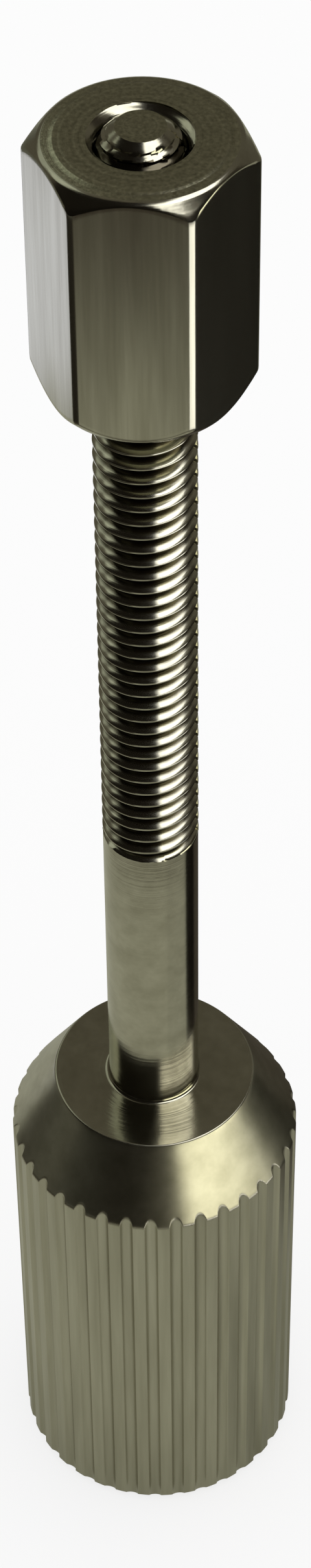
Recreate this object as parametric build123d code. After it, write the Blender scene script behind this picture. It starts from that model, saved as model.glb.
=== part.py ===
from build123d import *
from math import cos, radians, tan
import os

# Thumb screw with a straight-knurled head, standing on that head, and the long hex nut on its thread.
# Millimetres. Z runs up the screw's axis, and Z = 0 is the end of the head that it stands on.

# Thread, made as one ring groove for each turn
thread_diameter = 3.97
thread_pitch = 0.7
thread_turns = 51
thread_depth = 0.35
tip_flat_diameter = 2.18
tip_taper_angle = 30.0

# Plain shank between the head and the thread
shank_diameter = 3.93
shank_length = 15.7
shank_root_radius = 0.2

# Head
head_diameter = 12.7
knurled_height = 21.67
cone_height = 3.36
seat_diameter = 8.74
seat_edge_chamfer = 0.08
head_bottom_chamfer = 0.4

# Straight knurl
flute_count = 36
flute_depth = 0.2
flute_width = 0.58
flute_floor_width = 0.22
first_flute_at = 4.0

# Hex nut
nut_across_flats = 7.35
nut_length = 10.85
nut_face_diameter = 7.26
nut_chamfer_depth = 0.74
nut_corner_radius = 0.35
bore_lead_in = 0.12
thread_clearance = 0.04
tip_proud_of_nut = 0.46

# Heights along the axis
thread_length = thread_turns * thread_pitch
head_height = knurled_height + cone_height
thread_start_z = head_height + shank_length
tip_z = thread_start_z + thread_length
nut_top_z = tip_z - tip_proud_of_nut
nut_bottom_z = nut_top_z - nut_length

# Cutters run past the surfaces that they open by this much
overrun = 1.0


def screw_outline():
    """Half section of the screw in the XZ plane, from the head's foot up to the thread's tip."""
    thread_radius = thread_diameter / 2
    tip_radius = tip_flat_diameter / 2
    tip_taper_length = (thread_radius - tip_radius) / tan(radians(tip_taper_angle))
    with BuildSketch(Plane.XZ) as sketch:
        with BuildLine():
            Polyline(
                (0, 0),
                (head_diameter / 2 - head_bottom_chamfer, 0),
                (head_diameter / 2, head_bottom_chamfer),
                (head_diameter / 2, knurled_height),
                (seat_diameter / 2, head_height),
                (shank_diameter / 2, head_height),
                (shank_diameter / 2, thread_start_z),
                (thread_radius, thread_start_z),
                (thread_radius, tip_z - tip_taper_length),
                (tip_radius, tip_z),
                (0, tip_z),
                close=True,
            )
        make_face()
        chamfer(corner_at(sketch, seat_diameter / 2, head_height), seat_edge_chamfer)
        fillet(corner_at(sketch, shank_diameter / 2, head_height), shank_root_radius)
        with Locations(*thread_groove_places()):
            Polygon(
                (0, -thread_pitch / 2),
                (0, thread_pitch / 2),
                (-thread_depth, 0),
                align=None,
                mode=Mode.SUBTRACT,
            )
    return sketch.sketch


def thread_groove_places():
    """Middle of each thread groove's mouth, on the crest line and halfway between two crests."""
    first_groove_z = thread_start_z + thread_pitch / 2
    return [(thread_diameter / 2, first_groove_z + turn * thread_pitch) for turn in range(thread_turns)]


def corner_at(sketch, radius, height):
    """The corner of a half section nearest to a radius and a height."""
    return sketch.vertices().sort_by_distance((radius, 0, height))[0]


def flute_cutter():
    """Cutter for one flute, at +X of the head, long enough to open it at the foot and at the cone."""
    floor_x = head_diameter / 2 - flute_depth
    side_slope = (flute_width - flute_floor_width) / 2 / flute_depth
    mouth_half_width = flute_width / 2 + overrun * side_slope
    with BuildPart() as cutter:
        with BuildSketch(Plane.XY.offset(-overrun)):
            Polygon(
                (floor_x, -flute_floor_width / 2),
                (floor_x, flute_floor_width / 2),
                (head_diameter / 2 + overrun, mouth_half_width),
                (head_diameter / 2 + overrun, -mouth_half_width),
                align=None,
            )
        extrude(amount=head_height + 2 * overrun)
    return cutter.part


def make_thumb_screw():
    """Head, shank and thread, turned in one piece, with the straight knurl cut into the head."""
    blank = revolve(screw_outline(), axis=Axis.Z)
    flutes = PolarLocations(0, flute_count, start_angle=first_flute_at) * flute_cutter()
    return blank - flutes


def end_chamfer_outline():
    """Half section of the turned shape that trims the corners at both ends of the nut."""
    corner_radius = nut_across_flats / 2 / cos(radians(30))
    slope = nut_chamfer_depth / (corner_radius - nut_face_diameter / 2)
    outer_radius = corner_radius + overrun
    outer_drop = (outer_radius - nut_face_diameter / 2) * slope
    with BuildSketch(Plane.XZ) as sketch:
        with BuildLine():
            Polyline(
                (0, nut_bottom_z),
                (nut_face_diameter / 2, nut_bottom_z),
                (outer_radius, nut_bottom_z + outer_drop),
                (outer_radius, nut_top_z - outer_drop),
                (nut_face_diameter / 2, nut_top_z),
                (0, nut_top_z),
                close=True,
            )
        make_face()
    return sketch.sketch


def bore_outline():
    """Half section of the bore, which clears the thread and widens a little at both mouths."""
    bore_radius = thread_diameter / 2 + thread_clearance
    mouth_radius = bore_radius + bore_lead_in
    with BuildSketch(Plane.XZ) as sketch:
        with BuildLine():
            Polyline(
                (0, nut_bottom_z - overrun),
                (mouth_radius + overrun, nut_bottom_z - overrun),
                (bore_radius, nut_bottom_z + bore_lead_in),
                (bore_radius, nut_top_z - bore_lead_in),
                (mouth_radius + overrun, nut_top_z + overrun),
                (0, nut_top_z + overrun),
                close=True,
            )
        make_face()
    return sketch.sketch


def make_hex_nut():
    """Long hex nut with turned corners at both ends, on the end of the thread."""
    with BuildPart() as blank:
        with BuildSketch(Plane.XY.offset(nut_bottom_z)):
            hexagon = RegularPolygon(nut_across_flats / 2, 6, major_radius=False)
            fillet(hexagon.vertices(), nut_corner_radius)
        extrude(amount=nut_length)
    trimmed = blank.part & revolve(end_chamfer_outline(), axis=Axis.Z)
    return trimmed - revolve(bore_outline(), axis=Axis.Z)


os.makedirs("parts", exist_ok=True)
export_step(make_thumb_screw(), "parts/thumb_screw.step")
export_step(make_hex_nut(), "parts/hex_nut.step")
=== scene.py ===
from math import cos, hypot, pi, radians, sin, tan

import bpy
import numpy as np
from mathutils import Matrix, Vector


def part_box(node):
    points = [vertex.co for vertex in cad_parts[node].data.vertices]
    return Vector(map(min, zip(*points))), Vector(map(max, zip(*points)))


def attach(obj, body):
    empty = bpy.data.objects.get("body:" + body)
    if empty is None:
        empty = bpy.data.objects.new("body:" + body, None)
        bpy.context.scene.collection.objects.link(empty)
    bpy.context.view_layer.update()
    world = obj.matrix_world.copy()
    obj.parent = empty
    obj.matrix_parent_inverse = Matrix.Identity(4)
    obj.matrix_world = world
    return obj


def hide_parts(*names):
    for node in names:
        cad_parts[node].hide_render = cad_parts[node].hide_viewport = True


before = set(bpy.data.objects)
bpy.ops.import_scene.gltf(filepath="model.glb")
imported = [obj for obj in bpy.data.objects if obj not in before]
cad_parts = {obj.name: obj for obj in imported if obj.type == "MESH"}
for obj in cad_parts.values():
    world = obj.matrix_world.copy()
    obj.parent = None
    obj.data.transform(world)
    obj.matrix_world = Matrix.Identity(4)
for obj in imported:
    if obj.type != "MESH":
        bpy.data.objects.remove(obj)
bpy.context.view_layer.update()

MM = 0.001

# Edges that turn by more than this stay sharp in the shading
SHARP_ANGLE = radians(32)

# Sizes of the turned screw, in metres, as the solids have them
SCREW_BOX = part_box("thumb_screw")
NUT_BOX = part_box("hex_nut")
TIP_Z = SCREW_BOX[1][2]
NUT_TOP = NUT_BOX[1][2]
NUT_BOTTOM = NUT_BOX[0][2]
HEAD_RADIUS = 6.35 * MM
KNURLED_HEIGHT = 21.67 * MM
HEAD_HEIGHT = 25.03 * MM
SEAT_RADIUS = 4.37 * MM
SEAT_EDGE = 0.12 * MM
CONE_LEAN = radians(30.5)
FOOT_CHAMFER = 0.4 * MM
SHANK_RADIUS = 1.965 * MM
SHANK_ROOT = 0.2 * MM
THREAD_START = 40.73 * MM
THREAD_RADIUS = 1.985 * MM
PITCH = 0.7 * MM

# Tip: its taper, its chamfered end and the small ridges where the thread starts
TIP_RADIUS = 1.09 * MM
TIP_TAPER = tan(radians(30))
TIP_FLAT = 0.92 * MM
TIP_CHAMFER_SLOPE = 1.28
TIP_ROUND = 0.03 * MM
RIDGE_HEIGHT = 0.06 * MM
RIDGE_SPACING = 0.3 * MM
FIRST_RIDGE = 0.48 * MM
RIDGES_END = 1.0 * MM
TIP_BLEND = 0.05 * MM

# Straight knurl
FLUTES = 36
FLUTE_DEPTH = 0.2 * MM
FLUTE_RADIUS = 0.3 * MM
FIRST_FLUTE = radians(4)
FLUTE_EDGE_ROUND = 0.06 * MM
KNURL_RIM_ROUND = 0.07 * MM

# Nut
NUT_FLAT = 3.675 * MM
NUT_FACE_RADIUS = 3.63 * MM
NUT_CORNER = NUT_FLAT / cos(radians(30))
NUT_CORNER_ROUND = 0.35 * MM
NUT_CHAMFER = 0.74 * MM
NUT_EDGE_ROUND = 0.06 * MM
WALL_MARGIN = 0.15 * MM
BORE_MOUTH_RADIUS = 1.92 * MM

# Bevel and shallow turned step of the nut's upper face, as radii and depths in mm
FACE_PROFILE = (
    (3.63, 0.14), (3.51, 0.07), (3.46, 0.056), (3.22, 0.056), (3.18, 0.044), (3.1, 0.01),
    (3.05, 0.0), (2.55, 0.0),
)
FACE_BEVEL_DEPTH = FACE_PROFILE[0][1] * MM
FACE_EDGE_RADIUS = 3.47 * MM

# One crest of the thread, as the photograph shows it, and the gap to the nut's own thread
CREST_ANGLE = radians(-71.5)
CREST_Z = NUT_TOP - 12.23 * MM
THREAD_GAP = 0.03 * MM
NUT_CREST_CUT = 0.05 * MM

# Thread form, in pitches
CREST_HALF_LAND = 0.075
CREST_ROUND = 0.06
FLANK_LEAN = tan(radians(30))
FLANK_DEPTH = 0.5413
ROOT_HOLLOW = 0.072
ROOT_HALF_WIDTH = 0.125
RUN_IN = 0.35

# Places along one pitch where the mesh follows the thread's form
FORM_STEPS = (-0.5, -0.42, -0.34, -0.2, -0.12, -0.06, 0, 0.06, 0.12, 0.2, 0.34, 0.42)

# Places across half a flute and half the land beside it, in degrees from the flute's middle
FLUTE_STEPS = (0, 0.45, 0.9, 1.35, 1.75, 2.1, 2.35, 2.55, 2.7, 2.85, 3.1, 3.5, 4.2)

# Places over the two softened edges of the knurl, in mm from the edge
FOOT_EDGE_STEPS = (-0.06, -0.03, 0, 0.03, 0.06, 0.12)
RIM_STEPS = (-0.16, -0.1, -0.06, -0.03, 0, 0.03, 0.06, 0.1, 0.16)

# Number of steps around the shank, over a rounded edge, over half a nut's corner and along its wall
SHANK_COLUMNS = 120
ROUND_STEPS = 6
CORNER_STEPS = 4
WALL_STEPS = 14

# Limits that tell the faces of a mesh apart: distances, and how far a face looks up or down
KNURL_INNER_RADIUS = 5.9 * MM
CONE_INNER_RADIUS = SEAT_RADIUS - 0.04 * MM
BORE_OUTER_RADIUS = BORE_MOUTH_RADIUS + 0.15 * MM
BORE_TOP = NUT_TOP - 0.005 * MM
TIP_FACE_LOW = TIP_Z - 0.01 * MM
KNURL_UPRIGHT = 0.3
CHAMFER_LEAN = 0.2

# Camera, from the perspective fit to the photograph
VIEW_TURN = radians(5.92)
CAMERA_BACK = 106.11 * MM
CAMERA_SIDE = 0.228 * MM
CAMERA_HEIGHT = NUT_TOP + 81.07 * MM
CAMERA_PITCH = radians(46.979)
CAMERA_ROLL = radians(0.727)
FOCAL_PIXELS = 5900.6
PHOTO_HEIGHT = 2417


def soft_min(a, b, width):
    """Smaller of two values, with the corner between them rounded off."""
    blend = np.maximum(width - np.abs(a - b), 0) / width
    return np.minimum(a, b) - blend * blend * width / 4


def grid_mesh(name, rings, close_start=False, close_end=False):
    """Mesh of rings of points, each ring closed, with a centre point where an end is closed."""
    rows, columns = rings.shape[:2]
    points = rings.reshape(-1, 3).tolist()
    faces = []
    for row in range(rows - 1):
        low = row * columns
        high = low + columns
        for column in range(columns):
            after = (column + 1) % columns
            faces.append((low + column, low + after, high + after, high + column))
    if close_start:
        points.append(rings[0].mean(axis=0).tolist())
        centre = len(points) - 1
        faces += [(centre, (column + 1) % columns, column) for column in range(columns)]
    if close_end:
        points.append(rings[-1].mean(axis=0).tolist())
        centre = len(points) - 1
        last = (rows - 1) * columns
        faces += [(centre, last + column, last + (column + 1) % columns) for column in range(columns)]
    mesh = bpy.data.meshes.new(name)
    mesh.from_pydata(points, [], faces)
    mesh.validate()
    mesh.shade_smooth()
    mesh.set_sharp_from_angle(angle=SHARP_ANGLE)
    piece = bpy.data.objects.new(name, mesh)
    bpy.context.scene.collection.objects.link(piece)
    return piece


def ring(radius, angles, height):
    """Ring of points around the axis. Radius and height may differ from point to point."""
    shape = np.broadcast_to(radius, angles.shape)
    z = np.broadcast_to(height, angles.shape)
    return np.stack([shape * np.cos(angles), shape * np.sin(angles), z], axis=1)


def flute_angles():
    """Angles around the head, close together in each flute and at its edges."""
    turn = 360 / FLUTES
    sector = [-step for step in FLUTE_STEPS[:0:-1]] + [*FLUTE_STEPS, turn / 2]
    degrees = [flute * turn + step for flute in range(FLUTES) for step in sector]
    return FIRST_FLUTE + np.radians(np.array(degrees))


def knurled_radius(angles):
    """Radius of the knurled wall: round-bottomed flutes with softened edges."""
    turn = 2 * pi / FLUTES
    off_centre = (angles - FIRST_FLUTE + turn / 2) % turn - turn / 2
    centre = HEAD_RADIUS - FLUTE_DEPTH + FLUTE_RADIUS
    across = centre * np.sin(off_centre)
    reach = np.sqrt(np.maximum(FLUTE_RADIUS ** 2 - across ** 2, 0))
    flute = np.where(np.abs(across) < FLUTE_RADIUS, centre * np.cos(off_centre) - reach, centre)
    return soft_min(flute, HEAD_RADIUS, FLUTE_EDGE_ROUND)


def head_rings():
    """Rings of the head, from the foot's edge up over the knurl, cone and seat to the shank's root."""
    angles = flute_angles()
    wall = knurled_radius(angles)
    foot_radius = HEAD_RADIUS - FOOT_CHAMFER
    slope = (HEAD_HEIGHT - KNURLED_HEIGHT) / (HEAD_RADIUS - SEAT_RADIUS)
    rings = [ring(foot_radius * 0.6, angles, 0), ring(foot_radius, angles, 0)]
    chamfer_end = wall - foot_radius
    for step in FOOT_EDGE_STEPS:
        z = chamfer_end + step * MM
        rings.append(ring(soft_min(foot_radius + z, wall, FLUTE_EDGE_ROUND), angles, z))
    rim = KNURLED_HEIGHT + (HEAD_RADIUS - wall) * slope
    for step in RIM_STEPS:
        z = rim + step * MM
        cone = HEAD_RADIUS - (z - KNURLED_HEIGHT) / slope
        rings.append(ring(soft_min(wall, cone, KNURL_RIM_ROUND), angles, z))
    for share in (0.25, 0.5, 0.75, 0.93):
        z = KNURLED_HEIGHT + share * (HEAD_HEIGHT - KNURLED_HEIGHT)
        rings.append(ring(HEAD_RADIUS - (z - KNURLED_HEIGHT) / slope, angles, z))
    for step in range(ROUND_STEPS + 1):
        lean = CONE_LEAN + (pi / 2 - CONE_LEAN) * step / ROUND_STEPS
        radius = SEAT_RADIUS - SEAT_EDGE * 0.6 + SEAT_EDGE * cos(lean)
        rings.append(ring(radius, angles, HEAD_HEIGHT - SEAT_EDGE + SEAT_EDGE * sin(lean)))
    for share in (0.8, 0.55, 0.3):
        radius = SHANK_RADIUS + SHANK_ROOT + share * (SEAT_RADIUS - SEAT_EDGE - SHANK_RADIUS - SHANK_ROOT)
        rings.append(ring(radius, angles, HEAD_HEIGHT))
    for step in range(ROUND_STEPS + 1):
        lean = radians(90 * step / ROUND_STEPS)
        radius = SHANK_RADIUS + SHANK_ROOT * (1 - sin(lean))
        rings.append(ring(radius, angles, HEAD_HEIGHT + SHANK_ROOT * (1 - cos(lean))))
    return np.array(rings)


def crest_height(angles):
    """Height of one turn's crest line at each angle, measured from a fixed turn."""
    return CREST_Z + PITCH * (angles - CREST_ANGLE) / (2 * pi)


def thread_form(offset):
    """Depth below the crest at distances along the axis from the crest line, given in pitches."""
    distance = np.abs((offset + 0.5) % 1 - 0.5)
    run = (distance - CREST_HALF_LAND) / FLANK_LEAN
    flank = np.minimum((run + np.sqrt(run * run + CREST_ROUND ** 2)) / 2, FLANK_DEPTH)
    into_root = np.clip((distance - 0.5) / ROOT_HALF_WIDTH + 1, 0, 1)
    root = ROOT_HOLLOW * np.sin(into_root * pi / 2)
    return (flank + root) * PITCH


def tip_radius(z):
    """Radius of the tapered tip: a chamfered end, then small turned ridges where the thread starts."""
    below = TIP_Z - z
    taper = TIP_RADIUS + below * TIP_TAPER
    chamfer = TIP_FLAT + below * TIP_CHAMFER_SLOPE
    wave = np.cos(2 * pi * (below - FIRST_RIDGE) / RIDGE_SPACING)
    fading = np.clip((RIDGES_END - below) / RIDGE_SPACING, 0, 1)
    return soft_min(taper + RIDGE_HEIGHT * wave * fading, chamfer, TIP_ROUND)


def screw_thread_rings(angles):
    """Rings that follow the helix from the thread's start to the tip's flat."""
    crest = crest_height(angles)
    first = int((THREAD_START - crest.max()) / PITCH) - 2
    last = int((TIP_Z - crest.min()) / PITCH) + 2
    rings = []
    for turn in range(first, last + 1):
        for step in FORM_STEPS:
            z = crest + (turn + step) * PITCH
            share = np.clip((z - THREAD_START) / (RUN_IN * PITCH), 0, 1)
            radius = THREAD_RADIUS - thread_form(step) * share
            radius = np.where(z < THREAD_START, SHANK_RADIUS, radius)
            z = np.clip(z, THREAD_START, TIP_Z)
            rings.append(ring(soft_min(radius, tip_radius(z), TIP_BLEND), angles, z))
    return rings


def shank_rings(angles):
    """Plain shank, then the thread, then the tip's flat end."""
    rings = []
    for z in (HEAD_HEIGHT + 0.1 * MM, HEAD_HEIGHT + 1 * MM, THREAD_START - 0.05 * MM):
        rings.append(ring(SHANK_RADIUS, angles, z))
    rings += screw_thread_rings(angles)
    for share in (0.85, 0.6, 0.3):
        rings.append(ring(TIP_FLAT * share, angles, TIP_Z))
    return np.array(rings)


def toward(angle):
    """Unit vector at an angle around the axis."""
    return np.array([cos(angle), sin(angle)])


def hex_outline():
    """Points around the nut's rounded hexagon, with a corner on +X."""
    points = []
    arc_centre = NUT_CORNER - NUT_CORNER_ROUND / cos(radians(30))
    for corner in range(6):
        turn = radians(60 * corner)
        centre = toward(turn) * arc_centre
        for step in range(-CORNER_STEPS, CORNER_STEPS + 1):
            points.append(centre + toward(turn + radians(30 * step / CORNER_STEPS)) * NUT_CORNER_ROUND)
        side = toward(turn + radians(30)) * NUT_CORNER_ROUND
        start = centre + side
        end = toward(turn + radians(60)) * arc_centre + side
        for step in range(1, WALL_STEPS):
            points.append(start + (end - start) * step / WALL_STEPS)
    return np.array(points)


def nut_thread_rings(angles):
    """Rings down the bore: the mouth, the inner thread that opens at it, and the lower mouth."""
    crest = crest_height(angles)
    first = int((NUT_BOTTOM - crest.max()) / PITCH) - 2
    last = int((NUT_TOP - crest.min()) / PITCH) + 2
    inner = THREAD_RADIUS - FLANK_DEPTH * PITCH + NUT_CREST_CUT
    rings = []
    for turn in range(last, first - 1, -1):
        for step in reversed(FORM_STEPS):
            z = np.clip(crest + (turn + step) * PITCH, NUT_BOTTOM, NUT_TOP)
            form = THREAD_RADIUS + THREAD_GAP - thread_form((z - crest) / PITCH)
            depth = np.minimum(NUT_TOP - z, z - NUT_BOTTOM)
            mouth = BORE_MOUTH_RADIUS - depth
            radius = np.maximum(np.maximum(form, inner), mouth)
            rings.append(ring(radius, angles, z))
    return rings


def face_rings(angles):
    """The nut's upper face: a bevel at its edge, a turned step, and the land around the bore."""
    return [ring(radius * MM, angles, NUT_TOP - depth * MM) for radius, depth in FACE_PROFILE]


def corner_trim(wall, chamfer):
    """Radii and depths, from an end of the nut inwards, where the turned cone meets the flat walls."""
    slope = chamfer / (NUT_CORNER - NUT_FACE_RADIUS)
    drop = (wall - NUT_FACE_RADIUS) * slope
    places = []
    for share in (0, 0.3, 0.6, 0.8, 1.0, 1.2):
        depth = drop * share + NUT_EDGE_ROUND * 0.3
        turned = NUT_FACE_RADIUS + depth / slope
        places.append((soft_min(turned, wall, NUT_EDGE_ROUND), depth))
    places.append((wall, drop * 1.2 + WALL_MARGIN))
    return places


def nut_rings():
    """Rings of the nut, up its outside, over the top face and down its bore."""
    outline = hex_outline()
    angles = np.unwrap(np.arctan2(outline[:, 1], outline[:, 0]))
    wall = np.hypot(outline[:, 0], outline[:, 1])
    rings = [ring(share * NUT_FACE_RADIUS, angles, NUT_BOTTOM) for share in (0.7, 0.97)]
    for radius, depth in corner_trim(wall, NUT_CHAMFER):
        rings.append(ring(radius, angles, NUT_BOTTOM + depth))
    rings.append(ring(wall, angles, (NUT_BOTTOM + NUT_TOP) / 2))
    for radius, depth in reversed(corner_trim(wall, NUT_CHAMFER - FACE_BEVEL_DEPTH)):
        rings.append(ring(radius, angles, NUT_TOP - FACE_BEVEL_DEPTH - depth))
    rings += face_rings(angles)
    rings += nut_thread_rings(angles)
    rings.append(ring(0.7 * NUT_FACE_RADIUS, angles, NUT_BOTTOM))
    return np.array(rings)


def node(material, kind, **inputs):
    """New shader node with some inputs set by name."""
    made = material.node_tree.nodes.new(kind)
    for name, value in inputs.items():
        made.inputs[name.replace("_", " ")].default_value = value
    return made


def link(material, source, target):
    """Link between two sockets of a material."""
    material.node_tree.links.new(source, target)


def math_node(material, operation, first, second):
    """Math node on two sockets or numbers. Returns its output."""
    made = material.node_tree.nodes.new("ShaderNodeMath")
    made.operation = operation
    for index, value in enumerate((first, second)):
        if isinstance(value, (int, float)):
            made.inputs[index].default_value = value
        else:
            link(material, value, made.inputs[index])
    return made.outputs[0]


def mixed(material, first, first_share, second, second_share):
    """Sum of two sockets, each times its share."""
    parts = [
        math_node(material, "MULTIPLY", first, first_share),
        math_node(material, "MULTIPLY", second, second_share),
    ]
    return math_node(material, "ADD", *parts)


def stretched_noise(material, scale):
    """Noise in the object's own space with a separate scale along each axis."""
    place = node(material, "ShaderNodeTexCoord")
    mapping = node(material, "ShaderNodeMapping", Scale=scale)
    noise = node(material, "ShaderNodeTexNoise", Scale=1.0, Detail=3.0, Roughness=0.6)
    link(material, place.outputs["Object"], mapping.inputs["Vector"])
    link(material, mapping.outputs["Vector"], noise.inputs["Vector"])
    return noise.outputs["Fac"]


def from_axis(material):
    """Distance from the screw's axis, and height along it."""
    place = node(material, "ShaderNodeTexCoord")
    split = node(material, "ShaderNodeSeparateXYZ")
    link(material, place.outputs["Object"], split.inputs[0])
    squares = [math_node(material, "MULTIPLY", split.outputs[i], split.outputs[i]) for i in (0, 1)]
    return math_node(material, "SQRT", math_node(material, "ADD", *squares), 0), split.outputs[2]


def lathe_rings(material, scale):
    """Uneven rings about the axis, as a turning tool leaves on a face."""
    radius, height = from_axis(material)
    along = math_node(material, "ADD", radius, math_node(material, "MULTIPLY", height, 0.61))
    noise = node(material, "ShaderNodeTexNoise", Scale=1.0, Detail=2.0, Roughness=0.6)
    noise.noise_dimensions = "1D"
    link(material, math_node(material, "MULTIPLY", along, scale), noise.inputs["W"])
    return noise.outputs["Fac"]


def grain(across_x, across_y, across_z):
    """Pattern of noise with a scale along each axis, to be made in a material later."""
    return lambda material: stretched_noise(material, (across_x, across_y, across_z))


def tool_marks(scale):
    """Pattern of lathe rings, to be made in a material later."""
    return lambda material: lathe_rings(material, scale)


def metal(name, dark, pale, roughness, tone, bumps):
    """Plated steel. tone is a 0 to 1 pattern between two colours, bumps a list of (pattern, depth)."""
    material = bpy.data.materials.new(name)
    material.use_nodes = True
    shader = material.node_tree.nodes["Principled BSDF"]
    shader.inputs["Metallic"].default_value = 1.0
    shader.inputs["Roughness"].default_value = roughness
    ramp = node(material, "ShaderNodeValToRGB")
    ramp.color_ramp.elements[0].position = 0.3
    ramp.color_ramp.elements[0].color = (*dark, 1)
    ramp.color_ramp.elements[1].position = 0.7
    ramp.color_ramp.elements[1].color = (*pale, 1)
    link(material, tone(material), ramp.inputs["Fac"])
    link(material, ramp.outputs["Color"], shader.inputs["Base Color"])
    normal = None
    for pattern, depth in bumps:
        bump = node(material, "ShaderNodeBump", Strength=1.0, Distance=depth)
        link(material, pattern(material), bump.inputs["Height"])
        if normal is not None:
            link(material, normal, bump.inputs["Normal"])
        normal = bump.outputs["Normal"]
    link(material, normal, shader.inputs["Normal"])
    return material


# Colours of the plated steel, and painted shade: how far up the thread's roots the shade is painted dark
OLIVE_DARK = (0.40, 0.385, 0.305)
OLIVE_PALE = (0.53, 0.515, 0.425)
FACED_DARK = (0.25, 0.245, 0.17)
FACED_PALE = (0.62, 0.61, 0.46)
# Painted shade: a dark colour in the thread's roots, standing in for the shade the turns cast on each other
ROOT_SHADE_DARK = (0.1, 0.09, 0.065)
ROOT_SHADE_DEPTH = 0.27 * MM
ROOT_SHADE_EDGE = 0.14 * MM


def turned_metal():
    """Smoothly turned steel, for the shank, the seat and the nut's chamfers."""
    bumps = [(tool_marks(9000), 0.003 * MM), (grain(1200, 1200, 1200), 0.004 * MM)]
    return metal("turned_steel", OLIVE_DARK, OLIVE_PALE, 0.15, grain(900, 900, 900), bumps)


def shaded_roots_tone(material):
    """Low in the thread's roots, where shade is painted dark, and high on its crests, with some noise."""
    radius = from_axis(material)[0]
    above_root_shade = math_node(material, "SUBTRACT", radius, THREAD_RADIUS - ROOT_SHADE_DEPTH)
    share = math_node(material, "MULTIPLY", above_root_shade, 1 / ROOT_SHADE_EDGE)
    share.node.use_clamp = True
    noise = stretched_noise(material, (900, 900, 900))
    return mixed(material, share, 0.5, noise, 0.4)


def threaded_metal():
    """The turned steel with painted shade in its roots, for the thread."""
    bumps = [(tool_marks(9000), 0.003 * MM), (grain(1200, 1200, 1200), 0.004 * MM)]
    return metal("threaded_steel", ROOT_SHADE_DARK, OLIVE_PALE, 0.15, shaded_roots_tone, bumps)


def mottled_rings(material):
    """Blotches mixed with a turning tool's rings."""
    blotches = stretched_noise(material, (7000, 7000, 7000))
    return mixed(material, blotches, 0.65, lathe_rings(material, 7000), 0.35)


def faced_metal():
    """Rougher, mottled steel, for the nut's face and the tip."""
    bumps = [(tool_marks(6000), 0.008 * MM), (grain(7000, 7000, 7000), 0.008 * MM)]
    return metal("faced_steel", FACED_DARK, FACED_PALE, 0.24, mottled_rings, bumps)


def cone_metal():
    """Satin steel of the head's cone."""
    bumps = [(tool_marks(5000), 0.006 * MM)]
    return metal("cone_steel", OLIVE_DARK, OLIVE_PALE, 0.28, grain(900, 900, 900), bumps)


def drawn_metal():
    """Steel with fine lines along the nut, as drawn bar has."""
    bumps = [(grain(4200, 4200, 150), 0.004 * MM)]
    return metal("drawn_steel", OLIVE_DARK, OLIVE_PALE, 0.2, grain(2600, 2600, 120), bumps)


def knurled_metal():
    """Dull steel with lines along the flutes."""
    bumps = [(grain(2500, 2500, 400), 0.006 * MM)]
    return metal("knurled_steel", OLIVE_DARK, OLIVE_PALE, 0.3, grain(1500, 1500, 90), bumps)


def finish_faces(piece, finishes, choose):
    """Put the finishes on a mesh. choose(face) gives the number of the finish for each face."""
    for finish in finishes:
        piece.data.materials.append(finish)
    for face in piece.data.polygons:
        face.material_index = choose(face)


def off_axis(face):
    """Distance of a face's middle from the screw's axis."""
    return hypot(face.center.x, face.center.y)


def head_finish(face):
    """0 for the seat and the foot's middle, 1 for the knurl, 2 for the cone and the foot's edge."""
    if off_axis(face) > KNURL_INNER_RADIUS and abs(face.normal.z) < KNURL_UPRIGHT:
        return 1
    return 2 if off_axis(face) > CONE_INNER_RADIUS else 0


def shank_finish(face):
    """0 for the plain shank and the tip's chamfer, 1 for the tip's flat, 2 for the thread."""
    if face.center.z > TIP_FACE_LOW:
        return 1
    return 2 if THREAD_START < face.center.z < NUT_TOP else 0


def nut_finish(face):
    """0 for the flat walls, 1 for the bore and the chamfers, 2 for the faces at the two ends."""
    in_bore = off_axis(face) < BORE_OUTER_RADIUS and face.center.z < BORE_TOP
    if not in_bore and off_axis(face) < FACE_EDGE_RADIUS:
        return 2
    return 1 if in_bore or abs(face.normal.z) > CHAMFER_LEAN else 0


def make_screw():
    """The turned screw in two meshes: the head, and the shank with its thread."""
    head = grid_mesh("screw_head", head_rings(), close_start=True)
    shank_angles = np.linspace(0, 2 * pi, SHANK_COLUMNS, endpoint=False)
    shank = grid_mesh("screw_shank", shank_rings(shank_angles), close_end=True)
    turned = turned_metal()
    finish_faces(head, (turned, knurled_metal(), cone_metal()), head_finish)
    finish_faces(shank, (turned, faced_metal(), threaded_metal()), shank_finish)
    for piece in (head, shank):
        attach(piece, "screw")
    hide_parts("thumb_screw")


def make_nut():
    """The hex nut with its inner thread."""
    nut = grid_mesh("long_nut", nut_rings())
    finish_faces(nut, (drawn_metal(), turned_metal(), faced_metal()), nut_finish)
    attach(nut, "nut")
    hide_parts("hex_nut")


def make_camera():
    """Camera of the perspective fit: above and in front, turned a little about the screw's axis."""
    data = bpy.data.cameras.new("camera")
    data.lens = FOCAL_PIXELS / PHOTO_HEIGHT * data.sensor_width
    data.clip_start = 1 * MM
    camera = bpy.data.objects.new("camera", data)
    bpy.context.scene.collection.objects.link(camera)
    right = Vector((1, 0, 0))
    ahead = Vector((0, cos(CAMERA_PITCH), -sin(CAMERA_PITCH)))
    up = right.cross(ahead)
    rolled_right = right * cos(CAMERA_ROLL) - up * sin(CAMERA_ROLL)
    rolled_up = up * cos(CAMERA_ROLL) + right * sin(CAMERA_ROLL)
    axes = Matrix((rolled_right, rolled_up, -ahead)).transposed().to_4x4()
    place = Matrix.Translation((CAMERA_SIDE, -CAMERA_BACK, CAMERA_HEIGHT))
    camera.matrix_world = Matrix.Rotation(VIEW_TURN, 4, "Z") @ place @ axes
    bpy.context.scene.camera = camera


def heading(right_of_camera):
    """Direction on the table, from the screw, at an angle to the right of the camera's own side."""
    angle = VIEW_TURN - pi / 2 + radians(right_of_camera)
    return Vector((cos(angle), sin(angle), 0))


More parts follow.
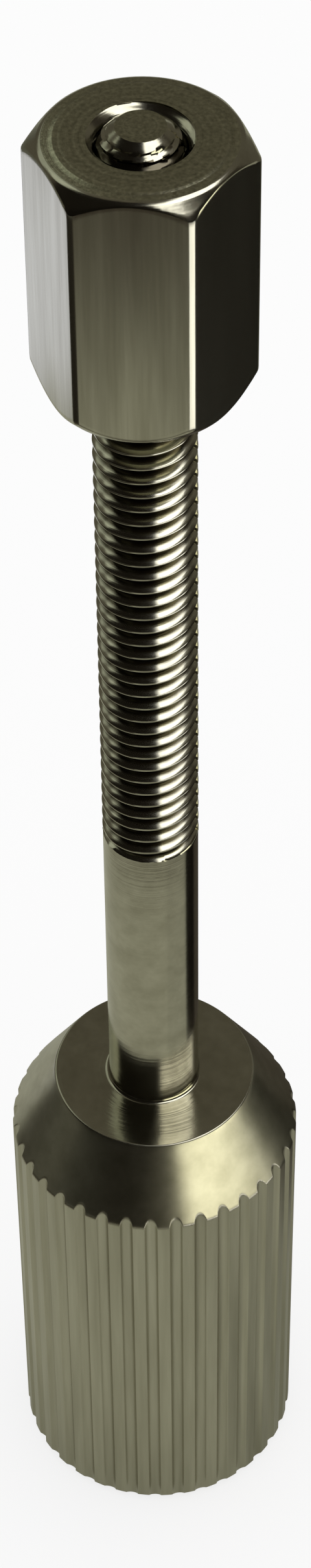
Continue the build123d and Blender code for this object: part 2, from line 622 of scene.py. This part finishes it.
def window_share(value, low, high, soft):
    """1 between low and high, falling to 0 over a soft edge outside them."""
    inside = min(value - low, high - value) / soft
    return min(max(inside + 1, 0), 1)


def glow_at(side, level, base, patches):
    """Colour of a sheet at an angle and an elevation or distance. Later patches cover earlier ones."""
    glow = Vector(base)
    for left, right, low, high, soft_side, soft_level, colour, strength in patches:
        share = max(window_share(side + turn, left, right, soft_side) for turn in (-360, 0, 360))
        share *= window_share(level, low, high, soft_level)
        glow = glow.lerp(Vector(colour) * strength, share)
    return glow


def reflector(name, levels, place, base, patches):
    """Sheet around the screw that glows by its own pattern, and that only reflections in the metal see."""
    sides = range(-180, 180, SIDE_STEP)
    points = []
    glows = []
    for level in levels:
        for side in sides:
            points.append(place(side, level))
            glows.append(glow_at(side, level, base, patches))
    faces = []
    columns = len(sides)
    for row in range(len(levels) - 1):
        for column in range(columns):
            start = row * columns
            after = (column + 1) % columns
            faces.append((start + column, start + after, start + columns + after, start + columns + column))
    mesh = bpy.data.meshes.new(name)
    mesh.from_pydata(points, [], faces)
    glow = mesh.attributes.new("glow", "FLOAT_COLOR", "POINT")
    for index, colour in enumerate(glows):
        glow.data[index].color = (*colour, 1)
    mesh.materials.append(glow_material(name))
    sheet = bpy.data.objects.new(name, mesh)
    bpy.context.scene.collection.objects.link(sheet)
    sheet.visible_camera = False
    sheet.visible_diffuse = False
    sheet.visible_shadow = False
    sheet.visible_transmission = False


def glow_material(name):
    """Material that glows by the mesh's own pattern."""
    material = bpy.data.materials.new(name)
    material.use_nodes = True
    material.node_tree.nodes.clear()
    pattern = node(material, "ShaderNodeAttribute")
    pattern.attribute_name = "glow"
    emission = node(material, "ShaderNodeEmission", Strength=1.0)
    output = node(material, "ShaderNodeOutputMaterial")
    link(material, pattern.outputs["Color"], emission.inputs["Color"])
    link(material, emission.outputs[0], output.inputs["Surface"])
    return material


# Colours that the metal mirrors
WARM = (1.0, 0.99, 0.96)
CREAM = (1.0, 0.97, 0.74)
OLIVE = (1.0, 1.0, 0.8)
GREEN = (0.95, 1.0, 0.82)
COOL = (0.98, 1.0, 1.1)
BROWN = (1.0, 0.85, 0.64)

# Patches of the room: angles from and to, elevations from and to, soft edges, colour, strength
ROOM_BASE = (0.12, 0.11, 0.082)
ROOM = (
    (-98, 20, 12, 95, 6, 6, BROWN, 0.012),
    (-70, -6, -5, 40, 8, 6, BROWN, 0.008),
    (78, 110, -5, 38, 8, 5, BROWN, 0.04),
    (28, 78, 22, 44, 6, 4, BROWN, 0.012),
    (-158, -124, 26, 56, 5, 4, GREEN, 0.48),
    (-126, -106, 41, 60, 5, 4, GREEN, 0.66),
    (20, 118, 53, 74, 6, 3, WARM, 2.8),
    (24, 84, 3, 15, 6, 4, CREAM, 2.7),
)

# Patches of the table: angles from and to, distances in mm from and to, soft edges, colour, strength
TABLE_BASE = (0.12, 0.115, 0.09)
TABLE = (
    (60, 300, 170, 900, 20, 30, OLIVE, 0.4),
    (-160, 36, 0, 74, 28, 6, OLIVE, 0.43),
    (54, 160, 0, 17, 20, 3, OLIVE, 0.28),
    (-180, 180, 0, 3, 1, 8, OLIVE, 0.25),
    (44, 110, 19, 38, 14, 3, OLIVE, 0.38),
    (104, 165, 19, 66, 14, 3, BROWN, 0.06),
    (70, 165, 42, 66, 10, 3, BROWN, 0.05),
    (-110, 62, 42, 65, 8, 4, BROWN, 0.08),
    (-150, -30, 105, 900, 20, 20, OLIVE, 0.15),
    (-150, -125, 78, 106, 4, 4, COOL, 0.96),
    (-117, -32, 68, 122, 3, 5, BROWN, 0.02),
    (-36, 6, 100, 900, 6, 24, BROWN, 0.06),
    (-30, 8, 66, 77, 6, 13, OLIVE, 0.5),
    (18, 84, 70, 110, 4, 3, WARM, 2.4),
    (92, 124, 26, 170, 3, 4, BROWN, 0.008),
)

# Meshes of the two sheets: the dome, and the disc with its rings of points in millimetres
ROOM_RADIUS = 0.9
SHEET_HEIGHT = 0.02 * MM
SIDE_STEP = 3
DISTANCES = (
    0.5, 4, 8, 12, 15, 18, 21, 24, 27, 30, 34, 38, 42, 46, 50, 54, 58, 62, 65, 68, 70, 72, 74, 76, 78, 80,
    82, 84, 86, 88, 90, 92, 94, 96, 98, 100, 104, 108, 112, 116, 120, 125, 130, 140, 160, 200, 300, 900,
)


def room_point(side, level):
    """Point of the room's dome at an angle and an elevation in degrees."""
    lean = radians(level)
    return heading(side) * ROOM_RADIUS * cos(lean) + Vector((0, 0, ROOM_RADIUS * sin(lean)))


def table_point(side, level):
    """Point just above the table at an angle and a distance in millimetres."""
    return heading(side) * level * MM + Vector((0, 0, SHEET_HEIGHT))


def make_studio():
    """What the screw's metal mirrors: a dim room with two windows, and a patterned table."""
    reflector("room", range(-2, 91, 2), room_point, ROOM_BASE, ROOM)
    reflector("table_sheets", DISTANCES, table_point, TABLE_BASE, TABLE)


# Floor: its width in metres, and the share of white that the camera and the metal see
FLOOR_SIZE = 4
FLOOR_WHITENESS = 0.75


def make_floor():
    """Pale floor that shows white to the camera and to the metal, and keeps the soft shadow."""
    bpy.ops.mesh.primitive_plane_add(size=FLOOR_SIZE)
    floor = bpy.context.object
    floor.name = "floor"
    material = bpy.data.materials.new("pale_floor")
    material.use_nodes = True
    material.node_tree.nodes.clear()
    path = node(material, "ShaderNodeLightPath")
    seen = math_node(material, "MAXIMUM", path.outputs["Is Camera Ray"], path.outputs["Is Glossy Ray"])
    seen = math_node(material, "MAXIMUM", seen, path.outputs["Is Transmission Ray"])
    diffuse = node(material, "ShaderNodeBsdfDiffuse", Color=(0.9, 0.9, 0.9, 1))
    white = node(material, "ShaderNodeEmission", Color=(1, 1, 1, 1), Strength=1.0)
    mix = node(material, "ShaderNodeMixShader")
    output = node(material, "ShaderNodeOutputMaterial")
    link(material, math_node(material, "MULTIPLY", seen, FLOOR_WHITENESS), mix.inputs[0])
    link(material, diffuse.outputs[0], mix.inputs[1])
    link(material, white.outputs[0], mix.inputs[2])
    link(material, mix.outputs[0], output.inputs["Surface"])
    floor.data.materials.append(material)


def make_world():
    """Plain white light from all around."""
    world = bpy.data.worlds.new("studio")
    bpy.context.scene.world = world
    world.use_nodes = True
    background = world.node_tree.nodes["Background"]
    background.inputs["Color"].default_value = (1, 1, 1, 1)
    background.inputs["Strength"].default_value = 1.0


make_screw()
make_nut()
make_camera()
make_floor()
make_studio()
make_world()
bpy.context.scene.view_settings.view_transform = "Standard"
